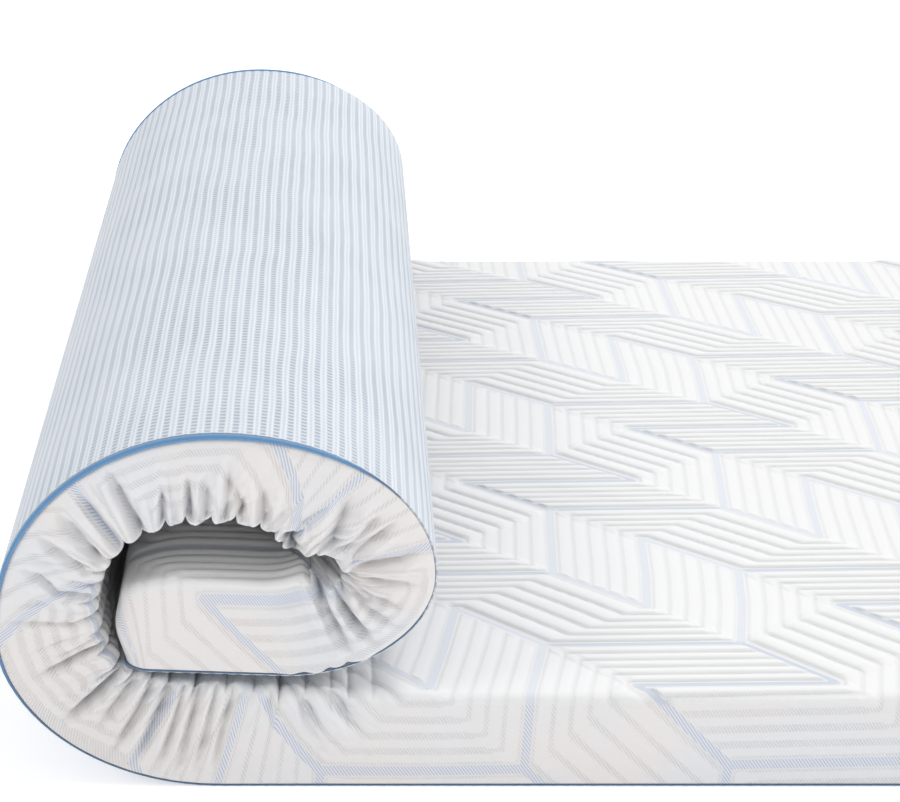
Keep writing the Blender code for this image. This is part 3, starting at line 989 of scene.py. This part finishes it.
class Value:
    """Output of a shader node; arithmetic with it adds math nodes."""

    def __init__(self, graph, socket):
        self.graph = graph
        self.socket = socket

    def __add__(self, other):
        return self.graph.math("ADD", self, other)

    def __sub__(self, other):
        return self.graph.math("SUBTRACT", self, other)

    def __rsub__(self, other):
        return self.graph.math("SUBTRACT", other, self)

    def __mul__(self, other):
        return self.graph.math("MULTIPLY", self, other)

    def __truediv__(self, other):
        return self.graph.math("DIVIDE", self, other)

    def __abs__(self):
        return self.graph.math("ABSOLUTE", self)


class Graph:
    """A new material, with short ways to add and link its shader nodes."""

    def __init__(self, name):
        self.material = bpy.data.materials.new(name)
        self.material.use_nodes = True
        self.tree = self.material.node_tree

    def feed(self, node, inputs):
        """Links or sets a node's sockets, which are given by name or number."""
        for key, value in inputs.items():
            if isinstance(value, Value):
                self.tree.links.new(value.socket, node.inputs[key])
            else:
                node.inputs[key].default_value = value

    def node(self, kind, settings, inputs, output=0):
        """One output of a new node."""
        made = self.tree.nodes.new(kind)
        for key, value in settings.items():
            setattr(made, key, value)
        self.feed(made, inputs)
        return Value(self, made.outputs[output])

    def math(self, operation, *values):
        return self.node("ShaderNodeMath", {"operation": operation}, dict(enumerate(values)))

    def attribute(self, name):
        return self.node("ShaderNodeAttribute", {"attribute_name": name}, {}, "Fac")

    def ramp(self, value, low, high):
        """Smooth step from 0 at low to 1 at high."""
        inputs = {0: value, 1: low, 2: high}
        return self.node("ShaderNodeMapRange", {"interpolation_type": "SMOOTHSTEP"}, inputs)

    def mix(self, share, a, b):
        return self.node("ShaderNodeMix", {"data_type": "RGBA"}, {0: share, 6: a, 7: b}, 2)

    def wave(self, phase):
        """0..1 wave of a value that grows by one a cycle."""
        return self.math("COSINE", phase * math.tau) * 0.5 + 0.5

    def slanted(self, x, y, cycles):
        """0..1 wave across the cloth, with so many cycles a metre along it and across it."""
        return self.wave(x * cycles[0] + y * cycles[1])

    def noise(self, x, y, scale):
        place = self.node("ShaderNodeCombineXYZ", {}, {0: x, 1: y})
        inputs = {"Vector": place, "Scale": scale, "Detail": 2.0}
        return self.node("ShaderNodeTexNoise", {"noise_dimensions": "2D"}, inputs)

    def bump(self, height, distance, strength, **over):
        """Normal of a bump, over another normal if one is given as Normal."""
        inputs = {"Strength": strength, "Distance": distance, "Height": height, **over}
        return self.node("ShaderNodeBump", {}, inputs)

    def finish(self, inputs):
        """The material, with its shader's sockets linked or set."""
        self.feed(self.tree.nodes["Principled BSDF"], inputs)
        return self.material


def knit_material():
    """White ribbed double knit: pale blue bands, and slanted hatch that shows on the sides."""
    g = Graph("knit_cover")
    x, y = g.attribute("cloth_x"), g.attribute("cloth_y")
    fold, fullness = g.attribute("fold"), g.attribute("fullness")
    band, shade = g.attribute("band"), g.attribute("shade")
    on_side = g.ramp(g.attribute("side"), *SIDE_BEGINS)
    off_band = g.ramp(band, *BAND_EDGE)
    in_band = 1 - g.ramp(band, 0.85 * BAND_HALF, BAND_HALF)

    # Across is 0 on a rib's crest and 1 in the groove between two ribs
    ribs = g.math("MAXIMUM", (0.5 - BAND_SHARE - fold) / (1 - 2 * BAND_SHARE), 0)
    across = abs(g.math("FRACT", ribs * RIBS_A_UNIT) * 2 - 1)
    height = (1 - g.math("POWER", across, 3)) * off_band * fullness

    # Grooves of the top: between full ribs, beside the bands, and between slim ribs.
    # Their grey is partly yarn and partly painted shade, strongest between full ribs and by their
    # bands
    groove = g.ramp(across, 0.46, 0.88) * g.ramp(fullness, 0.30, 1.00) * off_band
    edge = g.ramp(band, 0.90 * BAND_HALF, 1.10 * BAND_HALF) * g.ramp(fullness, 0.45, 0.95)
    edge = edge * (1 - g.ramp(band, 1.20 * BAND_HALF, 1.55 * BAND_HALF))
    gap = g.ramp(across, 0.50, 0.72) * (1 - g.ramp(fullness, 0.25, 0.60)) * off_band
    top_groove = g.math("MAXIMUM", groove, edge * 0.30) + gap * 0.30

    # Grooves of the sides: wider where the ribs run along the topper
    lying = g.ramp(abs(fullness - FULLNESS[ALONG]), 0.03, 0.09)
    side_groove = g.mix(lying, g.ramp(across, 0.40, 0.66), g.ramp(across, 0.62, 0.84))
    side_groove = side_groove * off_band
    hatch = g.ramp(g.slanted(x, y, HATCH), 0.30, 0.80)
    fine = g.slanted(x, y, FINE_WEAVE)

    tint, patch = g.noise(x, y, 8.0), g.noise(x, y, 34.0)
    white = g.mix(on_side, WHITE_TOP, g.mix(g.ramp(tint, 0.35, 0.65), *WHITE_SIDE))
    yarn = g.mix(on_side, YARN_TOP, g.mix(g.ramp(tint, 0.4, 0.6), *YARN_SIDE))
    top_share = top_groove * (fine * 0.12 + 0.08)
    side_share = side_groove * hatch * (patch * 0.45 + 0.10)
    colour = g.mix(g.mix(on_side, top_share, side_share), white, yarn)
    # Bands beside full ribs get more and darker blue: painted shade of the ribs beside them
    full = g.ramp(fullness, 0.60, 0.95)
    blue = g.mix(on_side, fine * 0.10 + 0.18 + full * 0.26, hatch * 0.62 + 0.03)
    band_colour = g.mix(full * (1 - on_side), BAND_BLUE, BAND_BLUE_RIB_SHADE)
    colour = g.mix(in_band * blue, colour, band_colour)
    # Painted shade from the shade attribute, darkest in the deepest creases and in the slit
    deep = g.ramp(shade, 0.0035, 0.0120) * 0.30 + g.ramp(shade, 0.0110, 0.0180) * 0.30

    relief = g.bump(height * (1 - on_side * 0.88), RIB_BUMP, 1.0)
    stitches = g.wave(x * STITCHES[0]) * g.wave(y * STITCHES[1])
    raised = stitches * 0.3 - side_groove * hatch
    return g.finish({
        "Base Color": g.mix(deep, colour, CREASE_SHADE_PAINTED),
        "Normal": g.bump(raised, STITCH_BUMP, 0.6, Normal=relief),
        "Roughness": 0.92,
        "Specular IOR Level": 0.2,
        "Sheen Weight": 0.20,
        "Sheen Roughness": 0.5,
    })


def mesh_material():
    """Spacer mesh: stripes of dark cross dashes, and rows of dots between white lines."""
    g = Graph("striped_mesh")
    x, y = g.attribute("cloth_x"), g.attribute("cloth_y")
    x = (g.noise(x * 2.5, y, 6.0) - 0.5) * 0.0045 + x
    stripe = g.wave(x / STRIPE_PITCH)
    dark = 1 - g.ramp(stripe, 0.12, 0.58)
    white = g.ramp(stripe, 0.42, 0.66) * (1 - g.ramp(stripe, 0.78, 0.95))
    row = y / DASH_PITCH
    column = x / (STRIPE_PITCH / DOTS_A_STRIPE)
    hole = dark * g.ramp(g.wave(row), 0.35, 0.70)
    staggered = g.math("ROUND", column) * 0.5 + row
    pore = g.ramp(g.wave(staggered), 0.45, 0.85) * g.ramp(g.wave(column), 0.35, 0.75)
    pore = pore * g.ramp(stripe, 0.84, 0.97)

    wash = g.ramp(g.noise(x, y, 9.0), 0.30, 0.70)
    uneven = g.ramp(g.noise(x * 9.0, y, 12.0), 0.30, 0.70)
    ground, shade = g.mix(wash, *MESH_GROUND), g.mix(wash, *MESH_SHADE)
    colour = g.mix(dark * (uneven * 0.55 + 0.45), ground, shade)
    colour = g.mix(white * (0.95 - uneven * 0.45), colour, MESH_LINE)
    colour = g.mix(hole * (0.58 - wash * 0.16), colour, MESH_HOLE)
    return g.finish({
        "Base Color": g.mix(pore * 0.34, colour, MESH_PORE),
        "Normal": g.bump((hole + pore * 0.6) * -1, MESH_BUMP, 0.7),
        "Roughness": 0.85,
        "Sheen Weight": 0.15,
    })


def piping_material():
    """Blue woven tape round a cord, with painted shade where it shows thin, tucked into the seam.
    """
    g = Graph("blue_piping")
    x, y = g.attribute("cloth_x"), g.attribute("cloth_y")
    twill = g.slanted(x, y, TWILL)
    worn = g.noise(x, y, 20.0)
    tape = g.mix(twill * 0.5 + 0.25, g.mix(worn, *TAPE_LOW), g.mix(worn, *TAPE_HIGH))
    # Painted shade where the piping shows thin, tucked into the seam
    tucked_shade = 1 - g.ramp(g.attribute("size"), 0.30, 0.75)
    return g.finish({
        "Base Color": g.mix(tucked_shade * 0.72, tape, TAPE_TUCKED_SHADE),
        "Normal": g.bump(twill, TWILL_BUMP, 0.5),
        "Roughness": 0.55,
        "Sheen Weight": 0.3,
    })


def floor_material():
    """Pale studio floor, bright enough to melt into the sky."""
    return Graph("pale_floor").finish({
        "Base Color": (0.80, 0.80, 0.81, 1),
        "Roughness": 0.9,
        "Specular IOR Level": 0.1,
        "Emission Color": (1, 1, 1, 1),
        "Emission Strength": 0.36,
    })


# ======== stage, light and camera
CAMERA_BACK = 1.458
CAMERA_HEIGHT = 0.918
CAMERA_PITCH = math.radians(22.6)
CAMERA_SENSOR = 36.0
CAMERA_CLIP = 60
PHOTO_WIDTH = 900
PHOTO_HEIGHT = 802
FOCAL_PIXELS = 2268
PRINCIPAL_X = 323
PRINCIPAL_Y = 403
PHOTO_MIDDLE_X = 0.0735
FLOOR_REACH = 14.0
FLOOR_Z = -0.0003
SKY_LOW = 0.70
SKY_HIGH = 0.90
# Suns: name, the direction in which each stands, strength, softness in degrees
SUNS = (
    ("back_light", (0.35, 0.80, 1.0), 1.15, 12),
    ("right_light", (0.90, -0.14, 0.75), 0.80, 12),
    ("left_light", (-0.85, -0.34, 0.75), 0.34, 16),
)


def make_floor():
    corners = ((-1, -1), (1, -1), (1, 1), (-1, 1))
    points = np.array([(a * FLOOR_REACH, b * FLOOR_REACH, FLOOR_Z) for a, b in corners])
    floor = new_mesh("floor", floor_material(), points, np.array([[0, 1, 2, 3]]), {})


def add_sun(name, towards, strength, softness):
    light = bpy.data.lights.new(name, "SUN")
    light.energy = strength
    light.angle = math.radians(softness)
    lamp = add_object(name, light)
    lamp.rotation_euler = Vector(towards).to_track_quat("Z", "Y").to_euler()


def make_lights():
    """An even sky, a little brighter above, and three weak suns."""
    world = bpy.data.worlds.new("studio")
    world.use_nodes = True
    tree = world.node_tree
    place = tree.nodes.new("ShaderNodeTexCoord")
    split = tree.nodes.new("ShaderNodeSeparateXYZ")
    level = tree.nodes.new("ShaderNodeMapRange")
    level.inputs["To Min"].default_value = SKY_LOW
    level.inputs["To Max"].default_value = SKY_HIGH
    tree.links.new(place.outputs["Generated"], split.inputs[0])
    tree.links.new(split.outputs["Z"], level.inputs["Value"])
    background = tree.nodes["Background"]
    background.inputs["Color"].default_value = (1, 1, 1, 1)
    tree.links.new(level.outputs[0], background.inputs["Strength"])
    bpy.context.scene.world = world
    for sun in SUNS:
        add_sun(*sun)


def make_camera():
    camera = bpy.data.cameras.new("camera")
    camera.sensor_width = CAMERA_SENSOR
    camera.lens = FOCAL_PIXELS / PHOTO_WIDTH * CAMERA_SENSOR
    camera.shift_x = (PHOTO_WIDTH / 2 - PRINCIPAL_X) / PHOTO_WIDTH
    camera.shift_y = (PRINCIPAL_Y - PHOTO_HEIGHT / 2) / PHOTO_WIDTH
    camera.clip_end = CAMERA_CLIP
    rig = add_object("camera", camera)
    rig.location = (TOUCH_X + PHOTO_MIDDLE_X, -WIDTH / 2 - CAMERA_BACK, CAMERA_HEIGHT)
    rig.rotation_euler = (math.pi / 2 - CAMERA_PITCH, 0, 0)
    bpy.context.scene.camera = rig


# ======== assembly
bpy.context.scene.view_settings.view_transform = "Standard"
make_camera()
make_lights()
make_floor()

for piece in make_cover(knit_material()):
    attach(piece, "root")
    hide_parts("topper_body")

panel = make_panel(mesh_material())
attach(panel, "root")
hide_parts("underside_panel")

piping = make_piping(piping_material())
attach(piping, "root")
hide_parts("edge_piping")
